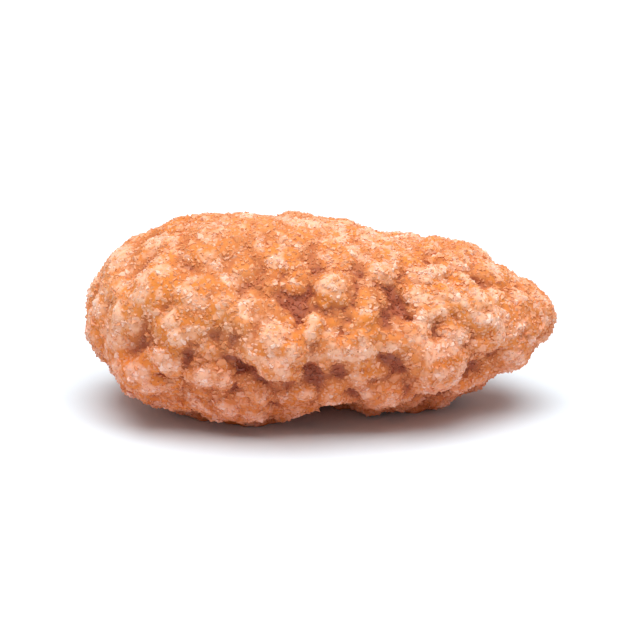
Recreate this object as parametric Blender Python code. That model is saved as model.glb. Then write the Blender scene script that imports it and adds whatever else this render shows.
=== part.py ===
"""A cinnamon almond: one roasted almond in a cooked crust of cinnamon sugar, lying on its broad side.

It is one piece of food and so one solid, worked out in millimetres and made in metres. +X runs to the
pointed end, -Y is the side that shows its nodules best, and +Z is up. The origin is under the middle, on
the surface that the almond lies on.
"""

import math

import bmesh
import bpy
from mathutils import Vector, noise

MM = 0.001

# Size of the smooth almond, nut and crust together. The nodules stand 0.4 to 1.4 mm proud of it.
LENGTH = 27.2
WIDTH = 13.6
THICKNESS = 10.7

# Outline. Places along the almond run from -1 at the blunt end to 1 at the pointed end.
WIDEST_AT = -0.38
BLUNT_FULLNESS = 1.9
POINT_FULLNESS = 2.3
POINT_SHARPNESS = 0.62

# Faces along the length, across the width and up the thickness, about 0.43 mm each.
GRID = (46, 28, 22)

# Slow unevenness of the crust, over half the almond's width.
UNEVEN_SPACING = 7.0
UNEVEN_HEIGHT = 0.40

# Nodules: the knobbly sugar that covers the crust, in two sizes of (spacing, height). In each, a nodule's
# reach is between two shares of the spacing, and its height between LEAST_HEIGHT and 1 of the height.
NODULES = ((2.3, 0.85), (1.2, 0.60))
NODULE_REACH = (0.50, 0.85)
LEAST_HEIGHT = 0.25
WARP_SPACING = 2.6
WARP = 0.45

# Which stretch of the endless field of nodules covers the almond, and the seed of its warp. Other values
# give another almond.
FIELD_STARTS_AT = (279.0, 153.0, 207.0)
WARP_SEED = 5

# The top is smoother than the flanks and the ends: the share of the nodules' height that is left there,
# and the angles from straight up, in degrees, between which it grows to the whole height.
SMOOTH_TOP = 0.6
ROUGH_FROM = 20.0
ROUGH_AT = 75.0

# The crust thins towards the pointed end: the share of the nodules' height that is left at its tip, and
# the place along the almond from which it shrinks.
THIN_TIP = 0.5
THIN_FROM = 0.70

# How steeply a lump and a hollow rise and fall at their edges: 2 is gentle, 0.5 is a half ball.
LUMP_STEEPNESS = 0.6
HOLLOW_STEEPNESS = 1.5

# Single forms of the crust: (place along, clock, reach, height), the last two in millimetres. The clock
# is in degrees round the long axis, 0 on top and 90 on the side towards -Y. A hollow has a height below 0.
FORMS = {
    "broad_nodule": (-0.17, 86, 1.8, 0.75),
    "low_nodule": (0.47, 106, 1.8, 0.90),
    "small_nodule": (-0.02, 74, 1.0, 0.60),
    "twin_nodule": (0.16, 76, 1.1, 0.70),
    "upper_nodule": (0.03, 50, 1.2, 0.55),
    "left_nodule": (-0.40, 66, 1.2, 0.50),
    "blunt_end_nodule": (-0.66, 96, 0.9, 0.55),
    "foot_nodule": (-0.30, 122, 1.2, 0.60),
    "valley_left": (-0.12, 54, 1.7, -0.80),
    "valley_right": (0.33, 52, 2.0, -0.90),
    "pit_by_blunt_end": (-0.77, 80, 1.1, -0.45),
    "pit_low_left": (-0.57, 94, 1.1, -0.50),
    "groove_upper": (-0.35, 98, 1.2, -0.80),
    "groove_lower": (-0.36, 118, 1.3, -0.80),
    "pit_between": (0.08, 98, 1.0, -0.60),
    "pit_right": (0.28, 94, 1.1, -0.40),
    "pit_by_point": (0.64, 112, 1.3, -0.60),
}

# Broad swells of the outline, given in the same way.
SWELLS = {
    "saddle_behind": (0.30, -25, 2.8, -0.90),
    "notch_behind": (-0.25, -30, 1.3, -0.40),
    "crown": (-0.38, 12, 4.5, 0.45),
    "lobe_left": (-0.32, 150, 5.0, 0.25),
    "lobe_right": (0.30, 195, 3.6, 0.80),
    "arch_between": (0.03, 155, 3.0, -1.30),
}

# The crust is flat where it dried on the tray: that plane is this far below the almond's middle.
FOOT_BELOW_MIDDLE = 5.65

CRUST_COLOUR = (0.60, 0.27, 0.12, 1.0)
CRUST_ROUGHNESS = 0.75


def smoothstep(low, high, value):
    share = min(max((value - low) / (high - low), 0.0), 1.0)
    return share * share * (3 - 2 * share)


def fullness(along):
    """The almond's half width at a place along it, as a share of its widest."""
    if along < WIDEST_AT:
        share = (WIDEST_AT - along) / (WIDEST_AT + 1)
        return max(1 - share**BLUNT_FULLNESS, 0.0) ** 0.5
    share = (along - WIDEST_AT) / (1 - WIDEST_AT)
    return max(1 - share**POINT_FULLNESS, 0.0) ** POINT_SHARPNESS


def on_almond(along, clock):
    """The point of the smooth almond at a place along it and a clock angle in degrees."""
    around = math.radians(clock)
    across = -0.5 * WIDTH * fullness(along) * math.sin(around)
    up = 0.5 * THICKNESS * fullness(along) * math.cos(around)
    return Vector((0.5 * LENGTH * along, across, up))


def add_gridded_box(bm):
    """A box of -1 to 1 whose faces are cut into GRID."""
    bmesh.ops.create_cube(bm, size=2)
    for axis, count in enumerate(GRID):
        lengthwise = [
            edge for edge in bm.edges if abs((edge.verts[0].co - edge.verts[1].co)[axis]) > 0.5
        ]
        bmesh.ops.subdivide_edges(bm, edges=lengthwise, cuts=count - 1, use_grid_fill=True)


def round_into_almond(bm):
    """Moves each point of the gridded box to the ball of its direction, and from there to the almond."""
    for vert in bm.verts:
        direction = Vector([math.tan(c * math.pi / 4) for c in vert.co]).normalized()
        clock = math.degrees(math.atan2(-direction.y, direction.z))
        vert.co = on_almond(direction.x, clock)


def chance(place):
    """A number from 0 to 1 that belongs to a place and looks random."""
    return (math.sin(place.dot(Vector((12.9898, 78.233, 37.719)))) * 43758.5453) % 1.0


def bump(distance, reach, steepness):
    """A round bump's height, 1 in its middle and 0 from its reach outwards."""
    return max(1 - (distance / reach) ** 2, 0.0) ** steepness


def nodules(point, spacing, height):
    """Rounded nodules of uneven size on a flat ground, with creases where they meet."""
    least, most = NODULE_REACH
    top = 0.0
    for distance, centre in zip(*noise.voronoi(point / spacing)):
        size = chance(centre)
        reach = least + (most - least) * size
        tall = LEAST_HEIGHT + (1 - LEAST_HEIGHT) * size
        top = max(top, tall * bump(distance, reach, LUMP_STEEPNESS))
    return height * top


def forms(point, named, lump_steepness):
    """The named lumps and hollows that reach a point, added up."""
    total = 0.0
    for along, clock, reach, height in named.values():
        steepness = lump_steepness if height > 0 else HOLLOW_STEEPNESS
        total += height * bump((point - on_almond(along, clock)).length, reach, steepness)
    return total


def crust(point):
    """Height of the crust above the smooth almond at a point on it."""
    on_ball = Vector((point.x / LENGTH, point.y / WIDTH, point.z / THICKNESS))
    from_top = math.degrees(on_ball.angle(Vector((0, 0, 1))))
    share = SMOOTH_TOP + (1 - SMOOTH_TOP) * smoothstep(ROUGH_FROM, ROUGH_AT, from_top)
    share *= 1 - (1 - THIN_TIP) * smoothstep(THIN_FROM, 1.0, 2 * point.x / LENGTH)
    place = point + Vector(FIELD_STARTS_AT)
    warped = place + WARP * noise.noise_vector(place / WARP_SPACING)
    knobbly = sum(nodules(warped, spacing, height) for spacing, height in NODULES)
    slow = UNEVEN_HEIGHT * noise.noise(point / UNEVEN_SPACING) + forms(point, SWELLS, HOLLOW_STEEPNESS)
    return slow + share * knobbly + forms(point, FORMS, LUMP_STEEPNESS)


def grow_crust(bm):
    bm.normal_update()
    grown = [vert.co + crust(vert.co) * vert.normal for vert in bm.verts]
    for vert, place in zip(bm.verts, grown):
        vert.co = place


def flatten_foot(bm):
    for vert in bm.verts:
        vert.co.z = max(vert.co.z, -FOOT_BELOW_MIDDLE)


def stand_over_origin(bm):
    """Centres the almond over the origin, with its foot at height 0."""
    xs = [vert.co.x for vert in bm.verts]
    ys = [vert.co.y for vert in bm.verts]
    middle = Vector(((min(xs) + max(xs)) / 2, (min(ys) + max(ys)) / 2, -FOOT_BELOW_MIDDLE))
    bmesh.ops.translate(bm, verts=bm.verts, vec=-middle)


def sugar_crust_material():
    material = bpy.data.materials.new("cinnamon_sugar_crust")
    material.use_nodes = True
    shader = material.node_tree.nodes["Principled BSDF"]
    shader.inputs["Base Color"].default_value = CRUST_COLOUR
    shader.inputs["Roughness"].default_value = CRUST_ROUGHNESS
    shader.inputs["Metallic"].default_value = 0.0
    return material


def make_cinnamon_almond():
    bm = bmesh.new()
    add_gridded_box(bm)
    round_into_almond(bm)
    grow_crust(bm)
    flatten_foot(bm)
    stand_over_origin(bm)
    bmesh.ops.scale(bm, verts=bm.verts, vec=(MM, MM, MM))
    bmesh.ops.recalc_face_normals(bm, faces=bm.faces)
    mesh = bpy.data.meshes.new("cinnamon_almond")
    bm.to_mesh(mesh)
    bm.free()
    mesh.shade_smooth()
    mesh.materials.append(sugar_crust_material())
    almond = bpy.data.objects.new("cinnamon_almond", mesh)
    bpy.context.scene.collection.objects.link(almond)


def main():
    noise.seed_set(WARP_SEED)
    for old in list(bpy.data.objects):
        bpy.data.objects.remove(old, do_unlink=True)
    make_cinnamon_almond()


main()
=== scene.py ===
"""The looks of a cinnamon almond: its crust of cooked sugar, and the crumbs and crystals on it.

The almond lies on its broad side with its pointed end at +X, and its origin is under it, on the
floor. Shapes are worked out in millimetres, because a grain of sugar is a fraction of one, and are
turned to metres as they become meshes.
"""

import math
import random

import bmesh
import bpy
from mathutils import Matrix, Quaternion, Vector, noise


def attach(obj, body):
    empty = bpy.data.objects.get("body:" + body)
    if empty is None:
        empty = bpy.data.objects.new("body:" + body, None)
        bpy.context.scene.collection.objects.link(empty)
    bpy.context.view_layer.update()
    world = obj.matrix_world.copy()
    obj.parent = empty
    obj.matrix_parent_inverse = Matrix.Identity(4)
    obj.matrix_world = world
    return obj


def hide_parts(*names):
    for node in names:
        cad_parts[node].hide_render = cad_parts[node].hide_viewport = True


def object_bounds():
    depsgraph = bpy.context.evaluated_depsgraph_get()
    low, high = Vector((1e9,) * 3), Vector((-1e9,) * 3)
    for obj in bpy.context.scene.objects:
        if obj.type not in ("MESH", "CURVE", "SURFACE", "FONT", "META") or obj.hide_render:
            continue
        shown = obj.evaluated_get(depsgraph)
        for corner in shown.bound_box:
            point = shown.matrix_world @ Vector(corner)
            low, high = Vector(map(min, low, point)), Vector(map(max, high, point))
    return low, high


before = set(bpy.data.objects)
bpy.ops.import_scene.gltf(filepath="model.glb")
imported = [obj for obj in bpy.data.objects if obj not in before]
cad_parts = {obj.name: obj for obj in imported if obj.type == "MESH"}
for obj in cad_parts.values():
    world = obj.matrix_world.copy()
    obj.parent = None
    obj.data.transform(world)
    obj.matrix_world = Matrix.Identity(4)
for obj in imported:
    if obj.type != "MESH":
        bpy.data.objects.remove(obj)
cad_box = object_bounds()

ALMOND = "cinnamon_almond"
BODY = "root"
MM = 0.001

# The seed of the grains' places and shapes, and the seed of the crust's warp.
SEED = 7
WARP_SEED = 3

# How finely the crust is modelled. Corners of the plain almond that lie this close are merged, each
# of its edges is cut at this many places, and its facets are smoothed away in this many rounds. In
# each round a point moves this share of the way to the middle of its neighbours.
MERGE_WITHIN = 0.001
CUTS = 3
SMOOTHINGS = 10
SMOOTHING = 0.5

# The relief of the crust, on top of the plain almond's own: each is (spacing, height) of rounded
# lumps. In each, a lump's reach is between two shares of the spacing, and its height between
# LEAST_HEIGHT and 1 of the height. The steepness of their edges is 2 for gentle ones and 0.5 for a
# half ball.
LUMPS = ((1.15, 0.24), (0.50, 0.12))
LUMP_REACH = (0.50, 0.85)
LUMP_STEEPNESS = 0.7
LEAST_HEIGHT = 0.2

# A warp pushes the lumps out of line and out of round: its spacing, and how far it pushes them.
WARP_SPACING = 1.1
WARP = 0.22

# Numbers without any pattern, which give each lump its own chance.
SCRAMBLE = Vector((12.9898, 78.233, 37.719))
SCRAMBLE_BY = 43758.5453

# Pits where a bubble of syrup burst. One lies where noise of this spacing is above the first of
# these values, and is as deep as it gets from the second on.
PIT_SPACING = 1.4
PIT_DEPTH = 0.20
PIT = (0.25, 0.60)

# Patches of calmer and rougher crust: the values of their noise where it is calm and where it is
# rough, and the shares of the relief's height there.
PATCH_SPACING = 6.0
PATCH = (-0.3, 0.3)
PATCH_SHARES = (0.65, 1.15)

# The crust is calmest on top, towards the blunt end: the share of the relief's height that is left
# there, the rounds of smoothing that the plain almond's nodules get there, how far that sinks them,
# which is put back, and the angles from that direction, in degrees, between which the crust turns
# from calm to rough.
CALMEST = (-0.6, -0.2, 1.0)
CALM_SHARE = 0.5
CALM_SMOOTHINGS = 24
CALM_SINKING = 0.15
CALM_TO_ROUGH = (20.0, 80.0)

# A place's crag is 0 at the bottom of a crease and 1 on top of a knob. It is this share of how far
# the place stands above the almond's broad form, over the first range, and for the rest of its
# height in the lumps, over the second, both in millimetres. The broad form is what this many rounds
# of smoothing leave of the plain almond.
# The crust's and grains' colours paint shade and light by the crag: darker down a crease, paler on
# a knob.
BROAD_SHARE = 0.6
BROAD_RANGE = (-0.30, 0.30)
FINE_RANGE = (0.02, 0.30)
BROAD_SMOOTHINGS = 14

# Frost is the pale dry sugar, in specks of this spacing on the bare orange syrup. It starts where
# noise passes the first of these values and is thickest from the second on. Below this height there
# is less of it, which is painted shade low on the almond, and on a knob there is more, which is
# painted light, from where it stands this far above the form round it to where it stands this far.
FROST_SPACING = 0.9
FROST_EDGE = (-0.12, 0.30)
PAINTED_SHADE_UP_TO = 8.0
LESS_LOW_DOWN = 0.22
KNOB = (0.08, 0.34)
MORE_ON_KNOBS = 0.26

# Patches set darker, which have an amount below 0, and paler, which have one above 0: (place,
# reach, amount), in millimetres. The dark ones lie in the front's valleys and low down, and are
# painted shade; the pale ones lie on a knob, towards the ends and along the top, and are painted
# light on paler sugar. The amount is added to both the crag and the frost.
PAINTED_SHADE_AND_LIGHT = (
    ((-1.1, -5.4, 9.3), 2.8, -0.22),
    ((2.3, -5.7, 8.4), 2.8, -0.18),
    ((5.0, -4.9, 8.2), 2.6, -0.06),
    ((-4.9, -7.2, 6.2), 2.2, -0.16),
    ((-4.7, -6.2, 2.7), 2.6, -0.12),
    ((0.8, -6.6, 4.2), 1.8, -0.14),
    ((3.9, -6.2, 4.9), 1.8, -0.12),
    ((-2.3, -7.6, 5.8), 1.6, 0.10),
    ((10.0, -3.4, 7.4), 4.0, 0.15),
    ((-11.8, -4.0, 7.2), 4.2, 0.13),
    ((0.5, 0.5, 11.3), 3.0, 0.15),
)

# Grains: how many at the most and how far apart, the crag below which they get rare, the range of
# their sizes, and how far each is sunk in the crust and knocked out of shape, as shares of its
# size.
CRUMBS = {
    "count": 3200,
    "apart": 0.48,
    "rare_below": 0.4,
    "sizes": (0.35, 0.80),
    "sunk": 0.26,
    "knocked": 0.15,
}
CRYSTALS = {
    "count": 16000,
    "apart": 0.24,
    "rare_below": 0.0,
    "sizes": (0.24, 0.50),
    "sunk": 0.18,
    "knocked": 0.08,
}

# A grain's width and thickness, as shares of its length. Chance to this power sets its size: the
# higher the power, the fewer large grains. A crystal starts as a cube of this side, which is about
# a millimetre from corner to corner.
GRAIN_WIDTH = (0.65, 1.0)
GRAIN_THICKNESS = (0.5, 0.85)
FEW_LARGE_POWER = 2
CUBE_SIDE = 0.62

# A grain's tone runs from 0, the painted shade of a deep crease, over this, amber, to 1, the palest
# frost. It leaves the painted crease shade between these two crags. Beyond amber, chance makes it
# paler, and these are the shares of that which are left off the knobs, where the extra paleness is
# painted light, and off the specks of frost.
AMBER = 0.35
OUT_OF_CREASE = (0.04, 0.40)
PALE_OFF_KNOBS = 0.35
PALE_OFF_FROST = 0.25

# Grains are made this many at a time, which is much quicker than all in one mesh.
BATCH = 150

# The sizes of the crust's pattern: clouds of darker and lighter syrup, sand, which is the sugar's
# fine grain, and dust of cinnamon. The sand is about 0.2 mm and the dust about 0.08 mm, and both
# are drawn twice as coarse so that they show. The sand's bump has this height and this strength.
CLOUD_SIZE = 3.5
SAND_SIZE = 0.40
DUST_SIZE = 0.16
SAND_RELIEF = 0.12
SAND_STRENGTH = 0.7

# The crust's colours, and for all but the bare syrup the values between which it comes in: of the
# clouds' noise, of the crag, of the dryness, of the dust's noise, and of the height.
BARE_SYRUP = "#e0843a"
CLOUDY_SYRUP = "#dd884c"
CLOUDY = (0.40, 0.60)
# Painted shade: the crust is darker and redder down a crease, where shade falls.
PAINTED_CREASE_SHADE = "#a35538"
DOWN_A_CREASE = (0.54, 0.06)
DRY_SUGAR = "#f4bb9a"
DRY = (1.32, 1.92)
CINNAMON = "#9c5630"
DUSTY = (0.66, 0.74)
# Painted shade: the sugar is darker and redder low on the almond.
PAINTED_LOW_SHADE = "#ffdddb"
LOW_DOWN = (PAINTED_SHADE_UP_TO * MM, 0.0)

# The dryness is the crag with these shares of the sand and the frost added to it: the sugar is
# paler where sand and frost lie, and on a knob, which is painted light.
SAND_IN_DRYNESS = 1.2
FROST_IN_DRYNESS = 0.55

# The crust's roughness, at the bottom of a crease and on top of a knob.
CRUST_ROUGHNESS = (0.65, 0.90)

# The grains' colours, by their tone.
# Painted shade: grains deep in a crease take the darkest colour.
GRAIN_PAINTED_CREASE_SHADE = "#9c4c2c"
GRAIN_AMBER = "#de8d55"
GRAIN_FROST = "#fddccb"

# The colour sockets of a Mix node, which share their names with its number sockets.
MIX_FIRST = 6
MIX_SECOND = 7
MIX_RESULT = 2

# The floor, the light and the camera, in metres, watts, degrees and a lens in millimetres.
FLOOR_SIZE = 3.0
PAPER_WHITE = "#e1ebf2"
LAMP_PLACE = (0.0, -0.08, 0.75)
LAMP_SIZE = 0.8
LAMP_WATTS = 9.5
ROOM_LIGHT = 0.34
CAMERA_ELEVATION = 20.0
CAMERA_DISTANCE = 0.318
CAMERA_LENS = 300.0
LOOK_AT_HEIGHT = 0.0055


def linear(hex_colour):
    """An sRGB colour, such as "#d98f66", as the linear colour that a shader reads."""
    channels = [int(hex_colour[i:i + 2], 16) / 255 for i in (1, 3, 5)]
    turned = [c / 12.92 if c <= 0.04045 else ((c + 0.055) / 1.055) ** 2.4 for c in channels]
    return (*turned, 1.0)


def per_metre(millimetres):
    """The scale of a noise whose features are this size, on Object coordinates in metres."""
    return 1 / (millimetres * MM)


def add_node(material, kind, settings=None, inputs=None):
    """Adds a node. Its settings go by name, and each input is a value or a socket that feeds it."""
    node = material.node_tree.nodes.new(kind)
    for name, value in (settings or {}).items():
        setattr(node, name, value)
    for name, value in (inputs or {}).items():
        if isinstance(value, bpy.types.NodeSocket):
            material.node_tree.links.new(value, node.inputs[name])
        else:
            node.inputs[name].default_value = value
    return node


def new_material(name):
    """An empty Principled material, its shader, and its Object coordinates."""
    material = bpy.data.materials.new(name)
    material.use_nodes = True
    shader = material.node_tree.nodes["Principled BSDF"]
    return material, shader, add_node(material, "ShaderNodeTexCoord").outputs["Object"]


def layered(material, ground, layers):
    """A ground colour with others laid over it, in turn. Each layer is (value, range, colour,
    blend): it starts to show where its value enters the range, and is whole where it leaves it."""
    colour = linear(ground)
    for value, (none, full), over, blend in layers:
        amount = add_node(
            material, "ShaderNodeMapRange", {}, {"Value": value, "From Min": none, "From Max": full}
        )
        mixed = add_node(
            material,
            "ShaderNodeMix",
            {"data_type": "RGBA", "blend_type": blend},
            {"Factor": amount.outputs["Result"], MIX_FIRST: colour, MIX_SECOND: linear(over)},
        )
        colour = mixed.outputs[MIX_RESULT]
    return colour


def clamped(value):
    return min(max(value, 0.0), 1.0)


def smoothstep(low, high, value):
    share = clamped((value - low) / (high - low))
    return share * share * (3 - 2 * share)


def between(low, high, share):
    return low + (high - low) * share


def chance(place):
    """A number from 0 to 1 that belongs to a place and looks random."""
    return (math.sin(place.dot(SCRAMBLE)) * SCRAMBLE_BY) % 1.0


def lumps(point, spacing):
    """Rounded lumps of uneven size, from 0 on the ground between them to 1 on the tallest."""
    top = 0.0
    for distance, centre in zip(*noise.voronoi(point / spacing)):
        size = chance(centre)
        reach = between(*LUMP_REACH, size)
        tall = between(LEAST_HEIGHT, 1.0, size)
        top = max(top, tall * max(1 - (distance / reach) ** 2, 0.0) ** LUMP_STEEPNESS)
    return top


def relief(point):
    """Height of the crust's fine relief at a point."""
    rough = between(*PATCH_SHARES, smoothstep(*PATCH, noise.noise(point / PATCH_SPACING)))
    warped = point + WARP * noise.noise_vector(point / WARP_SPACING)
    height = sum(tall * lumps(warped, spacing) for spacing, tall in LUMPS)
    return rough * height - PIT_DEPTH * smoothstep(*PIT, noise.noise(warped / PIT_SPACING))


def calmness(point):
    """How calm the crust is at a point, from 0 on the flanks to 1 where it is calmest."""
    low, high = (Vector(corner) / MM for corner in cad_box)
    size = high - low
    on_ball = Vector((point.x / size.x, point.y / size.y, point.z / size.z - 0.5))
    return 1 - smoothstep(*CALM_TO_ROUGH, math.degrees(on_ball.angle(Vector(CALMEST))))


def frost_and_painted_light(point, above):
    """How much frost lies at a point that stands this far above the form round it, from 0 to 1,
    with painted shade low down and painted light on knobs.
    """
    # Painted light: more frost on a knob.
    sugary = noise.noise(point / FROST_SPACING) + MORE_ON_KNOBS * smoothstep(*KNOB, above)
    # Painted shade: less frost low down.
    less = LESS_LOW_DOWN * (1 - smoothstep(0.0, PAINTED_SHADE_UP_TO, point.z))
    return smoothstep(*FROST_EDGE, sugary - less)


def painted_shade_and_light_at(point):
    """How much paler, with painted light, or darker where it is below 0, with painted shade, the
    crust is set at a point.
    """
    total = 0.0
    for place, reach, amount in PAINTED_SHADE_AND_LIGHT:
        total += amount * max(1 - ((point - Vector(place)).length / reach) ** 2, 0.0)
    return total


def plain_almond():
    """The CAD almond in millimetres, its loose triangles merged and paired into quads."""
    bm = bmesh.new()
    bm.from_mesh(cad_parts[ALMOND].data)
    bmesh.ops.scale(bm, verts=bm.verts, vec=Vector((1, 1, 1)) / MM)
    bmesh.ops.remove_doubles(bm, verts=bm.verts, dist=MERGE_WITHIN)
    bmesh.ops.join_triangles(
        bm, faces=bm.faces, angle_face_threshold=math.pi, angle_shape_threshold=math.pi
    )
    return bm


def smooth(bm, verts):
    """One round of smoothing."""
    bmesh.ops.smooth_vert(
        bm, verts=verts, factor=SMOOTHING, use_axis_x=True, use_axis_y=True, use_axis_z=True
    )


def mark_heights(bm):
    """Stores how far each point stands above the broad form round it, in millimetres."""
    above = bm.verts.layers.float.new("above")
    broad = bm.copy()
    for _ in range(BROAD_SMOOTHINGS):
        smooth(broad, broad.verts)
    bm.normal_update()
    for vert, calm in zip(bm.verts, broad.verts):
        vert[above] = (vert.co - calm.co).dot(vert.normal)
    broad.free()
    return above


def crust_shape():
    """The almond with the fine relief of its crust. Each point knows its crag, and how thick the
    frost of dry sugar is there, with painted shade and light laid into it, both from 0 to 1."""
    bm = plain_almond()
    above = mark_heights(bm)
    bmesh.ops.subdivide_edges(bm, edges=bm.edges, cuts=CUTS, use_grid_fill=True)
    for _ in range(SMOOTHINGS):
        smooth(bm, bm.verts)
    calm = [calmness(vert.co) for vert in bm.verts]
    for turn in range(CALM_SMOOTHINGS):
        least = turn / CALM_SMOOTHINGS
        smooth(bm, [vert for vert, amount in zip(bm.verts, calm) if amount > least])
    crag = bm.verts.layers.float.new("crag")
    frost = bm.verts.layers.float.new("frost")
    bm.normal_update()
    noise.seed_set(WARP_SEED)
    grown = []
    for vert, amount in zip(bm.verts, calm):
        share = between(1.0, CALM_SHARE, amount)
        height = relief(vert.co)
        grown.append(vert.co + (share * height + CALM_SINKING * amount) * vert.normal)
        broad = smoothstep(*BROAD_RANGE, share * vert[above])
        # Painted shade and light, added to the crag and the frost.
        dry = painted_shade_and_light_at(vert.co)
        vert[crag] = clamped(dry + between(smoothstep(*FINE_RANGE, height), broad, BROAD_SHARE))
        vert[frost] = clamped(dry + frost_and_painted_light(vert.co, share * vert[above]))
    for vert, place in zip(bm.verts, grown):
        vert.co = (place.x, place.y, max(place.z, 0.0))
    return bm


def to_object(bm, name, material, rounded):
    """Turns millimetres to metres and makes the piece, riding on the almond's body."""
    bmesh.ops.scale(bm, verts=bm.verts, vec=Vector((MM, MM, MM)))
    mesh = bpy.data.meshes.new(name)
    bm.to_mesh(mesh)
    bm.free()
    if rounded:
        mesh.shade_smooth()
    else:
        mesh.shade_flat()
    mesh.materials.append(material)
    piece = bpy.data.objects.new(name, mesh)
    bpy.context.scene.collection.objects.link(piece)
    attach(piece, BODY)
    return piece


def redder_low_down(material, place):
    """A layer of painted shade that turns the sugar darker and redder low on the almond."""
    height = add_node(material, "ShaderNodeSeparateXYZ", {}, {"Vector": place}).outputs["Z"]
    return (height, LOW_DOWN, PAINTED_LOW_SHADE, "MULTIPLY")


def cooked_cinnamon_sugar():
    """Sugar syrup and cinnamon, stirred in the pan until it set as a crust. It is opaque, sandy and
    matt: orange, with painted shade, darker and redder, in the creases, pale frost where it set
    first, with painted light on the knobs, painted shade low down, and brown flecks of cinnamon."""
    material, shader, place = new_material("cooked_cinnamon_sugar")
    crag = add_node(material, "ShaderNodeAttribute", {"attribute_name": "crag"}).outputs["Fac"]
    frost = add_node(material, "ShaderNodeAttribute", {"attribute_name": "frost"}).outputs["Fac"]
    clouds, sand, dust = (
        add_node(
            material,
            "ShaderNodeTexNoise",
            {},
            {"Vector": place, "Scale": per_metre(size), "Detail": detail},
        ).outputs["Fac"]
        for size, detail in ((CLOUD_SIZE, 2.0), (SAND_SIZE, 3.0), (DUST_SIZE, 2.0))
    )
    dryness_and_painted_light = crag
    for grain, share in ((sand, SAND_IN_DRYNESS), (frost, FROST_IN_DRYNESS)):
        dryness_and_painted_light = add_node(
            material,
            "ShaderNodeMath",
            {"operation": "MULTIPLY_ADD"},
            {0: grain, 1: share, 2: dryness_and_painted_light},
        ).outputs["Value"]
    colour = layered(
        material,
        BARE_SYRUP,
        (
            (clouds, CLOUDY, CLOUDY_SYRUP, "MIX"),
            # Painted shade: darker and redder down a crease.
            (crag, DOWN_A_CREASE, PAINTED_CREASE_SHADE, "MIX"),
            # Paler where sand and frost lie, and painted light on a knob.
            (dryness_and_painted_light, DRY, DRY_SUGAR, "MIX"),
            (dust, DUSTY, CINNAMON, "MIX"),
            redder_low_down(material, place),
        ),
    )
    in_crease, on_knob = CRUST_ROUGHNESS
    roughness = add_node(
        material, "ShaderNodeMapRange", {}, {"Value": crag, "To Min": in_crease, "To Max": on_knob}
    )
    bump = add_node(
        material,
        "ShaderNodeBump",
        {},
        {"Height": sand, "Strength": SAND_STRENGTH, "Distance": SAND_RELIEF * MM},
    )
    material.node_tree.links.new(colour, shader.inputs["Base Color"])
    material.node_tree.links.new(roughness.outputs["Result"], shader.inputs["Roughness"])
    material.node_tree.links.new(bump.outputs["Normal"], shader.inputs["Normal"])
    shader.inputs["IOR"].default_value = 1.5
    shader.inputs["Specular IOR Level"].default_value = 0.3
    shader.inputs["Subsurface Weight"].default_value = 0.12
    shader.inputs["Subsurface Radius"].default_value = (1.0, 0.45, 0.2)
    shader.inputs["Subsurface Scale"].default_value = 0.8 * MM
    return material


def dry_sugar_grain():
    """Grains of sugar that the syrup left dry: from painted crease shade to pale frost, with
    painted light on the knobs, and flat faces that catch the light."""
    material, shader, place = new_material("dry_sugar_grain")
    tone = add_node(material, "ShaderNodeAttribute", {"attribute_name": "tone"}).outputs["Fac"]
    colour = layered(
        material,
        GRAIN_PAINTED_CREASE_SHADE,
        (
            (tone, (0.0, AMBER), GRAIN_AMBER, "MIX"),
            (tone, (AMBER, 1.0), GRAIN_FROST, "MIX"),
            redder_low_down(material, place),
        ),
    )
    material.node_tree.links.new(colour, shader.inputs["Base Color"])
    shader.inputs["Roughness"].default_value = 0.5
    shader.inputs["IOR"].default_value = 1.54
    shader.inputs["Subsurface Weight"].default_value = 0.15
    shader.inputs["Subsurface Radius"].default_value = (1.0, 0.6, 0.35)
    shader.inputs["Subsurface Scale"].default_value = 0.3 * MM
    return material


def spots(bm, count, apart, rare_below):
    """Places for grains: points of the crust about this far apart, and at least as far off the
    floor, as (place, normal, crag, frost)."""
    crag = bm.verts.layers.float["crag"]
    frost = bm.verts.layers.float["frost"]
    draw = random.Random(SEED)
    bm.verts.ensure_lookup_table()
    order = list(range(len(bm.verts)))
    draw.shuffle(order)
    taken = set()
    found = []
    for index in order:
        vert = bm.verts[index]
        cell = tuple(math.floor(c / apart) for c in vert.co)
        if cell in taken or vert.co.z < apart or vert[crag] < rare_below * draw.random():
            continue
        taken.add(cell)
        found.append((vert.co.copy(), vert.normal.copy(), vert[crag], vert[frost]))
        if len(found) == count:
            break
    return found


def crumb(bm, where):
    """A lump of sugar a millimetre across, before it is sized."""
    return bmesh.ops.create_icosphere(bm, subdivisions=1, radius=0.5, matrix=where)["verts"]


def crystal(bm, where):
    """A block of sugar a millimetre from corner to corner, before it is sized."""
    return bmesh.ops.create_cube(bm, size=CUBE_SIDE, matrix=where)["verts"]


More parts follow.
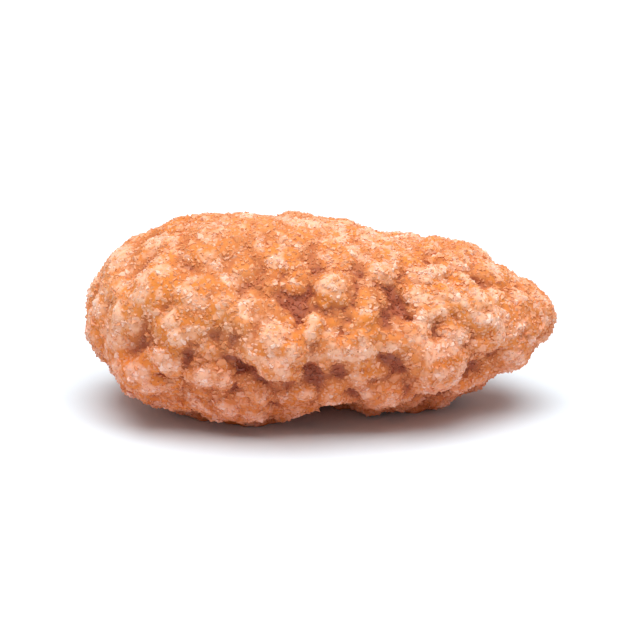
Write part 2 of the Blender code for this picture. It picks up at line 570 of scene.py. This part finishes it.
def grains(crust, make, count, apart, rare_below, sizes, sunk, knocked):
    """Grains of sugar on the crust, each turned, squashed, knocked and sunk in it its own way."""
    places = spots(crust, count, apart, rare_below)
    draw = random.Random(SEED)
    joined = bmesh.new()
    for start in range(0, len(places), BATCH):
        batch = bmesh.new()
        tone = batch.verts.layers.float.new("tone")
        for place, normal, crag, frost in places[start:start + BATCH]:
            size = between(*sizes, draw.random() ** FEW_LARGE_POWER)
            turn = Quaternion(noise.random_unit_vector(), draw.uniform(0, math.tau))
            width = size * draw.uniform(*GRAIN_WIDTH)
            thickness = size * draw.uniform(*GRAIN_THICKNESS)
            squash = Matrix.Diagonal((size, width, thickness, 1.0))
            where = Matrix.Translation(place - sunk * size * normal) @ turn.to_matrix().to_4x4()
            pale = draw.random() * between(PALE_OFF_KNOBS, 1.0, crag)
            pale *= between(PALE_OFF_FROST, 1.0, frost)
            # Painted shade down a crease and painted light on a knob go into the tone.
            shade = smoothstep(*OUT_OF_CREASE, crag) * between(AMBER, 1.0, pale)
            for vert in make(batch, where @ squash):
                vert.co += knocked * size * noise.random_vector()
                vert.co.z = max(vert.co.z, 0.0)
                vert[tone] = shade
        mesh = bpy.data.meshes.new("batch")
        batch.to_mesh(mesh)
        batch.free()
        joined.from_mesh(mesh)
        bpy.data.meshes.remove(mesh)
    return joined


def dressed_almond():
    """The crust in place of the plain almond, and the grains on it."""
    shape = crust_shape()
    crumbs = grains(shape, crumb, **CRUMBS)
    crystals = grains(shape, crystal, **CRYSTALS)
    crust = to_object(shape, "sugar_crust", cooked_cinnamon_sugar(), True)
    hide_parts(ALMOND)
    sugar = dry_sugar_grain()
    to_object(crumbs, "sugar_crumbs", sugar, False)
    to_object(crystals, "sugar_crystals", sugar, False)


def floor():
    """A plain card that the almond lies on. White card has a trace of blue, which makes it look
    pure white, and it is matt."""
    bm = bmesh.new()
    bmesh.ops.create_grid(bm, x_segments=1, y_segments=1, size=FLOOR_SIZE / 2)
    mesh = bpy.data.meshes.new("floor")
    bm.to_mesh(mesh)
    bm.free()
    material, shader, _ = new_material("white_card")
    shader.inputs["Base Color"].default_value = linear(PAPER_WHITE)
    shader.inputs["Roughness"].default_value = 0.9
    mesh.materials.append(material)
    card = bpy.data.objects.new("floor", mesh)
    bpy.context.scene.collection.objects.link(card)


def light():
    """One wide soft lamp overhead, and the white room's own light, shown without a film look."""
    soft = bpy.data.lights.new("overhead", "AREA")
    soft.size = LAMP_SIZE
    soft.energy = LAMP_WATTS
    lamp = bpy.data.objects.new("overhead", soft)
    bpy.context.scene.collection.objects.link(lamp)
    lamp.location = LAMP_PLACE
    lamp.rotation_euler = (-Vector(LAMP_PLACE)).to_track_quat("-Z", "Y").to_euler()
    room = bpy.data.worlds.new("room")
    room.use_nodes = True
    room.node_tree.nodes["Background"].inputs["Strength"].default_value = ROOM_LIGHT
    room.node_tree.nodes["Background"].inputs["Color"].default_value = (1, 1, 1, 1)
    bpy.context.scene.world = room
    bpy.context.scene.view_settings.view_transform = "Standard"


def camera():
    """A long lens, in front of the almond and a little above it."""
    up = math.radians(CAMERA_ELEVATION)
    back = Vector((0, -math.cos(up), math.sin(up)))
    lens = bpy.data.cameras.new("camera")
    lens.lens = CAMERA_LENS
    lens.clip_start = 0.01
    eye = bpy.data.objects.new("camera", lens)
    eye.location = Vector((0, 0, LOOK_AT_HEIGHT)) + CAMERA_DISTANCE * back
    eye.rotation_euler = back.to_track_quat("Z", "Y").to_euler()
    bpy.context.scene.collection.objects.link(eye)
    bpy.context.scene.camera = eye


dressed_almond()
floor()
light()
camera()
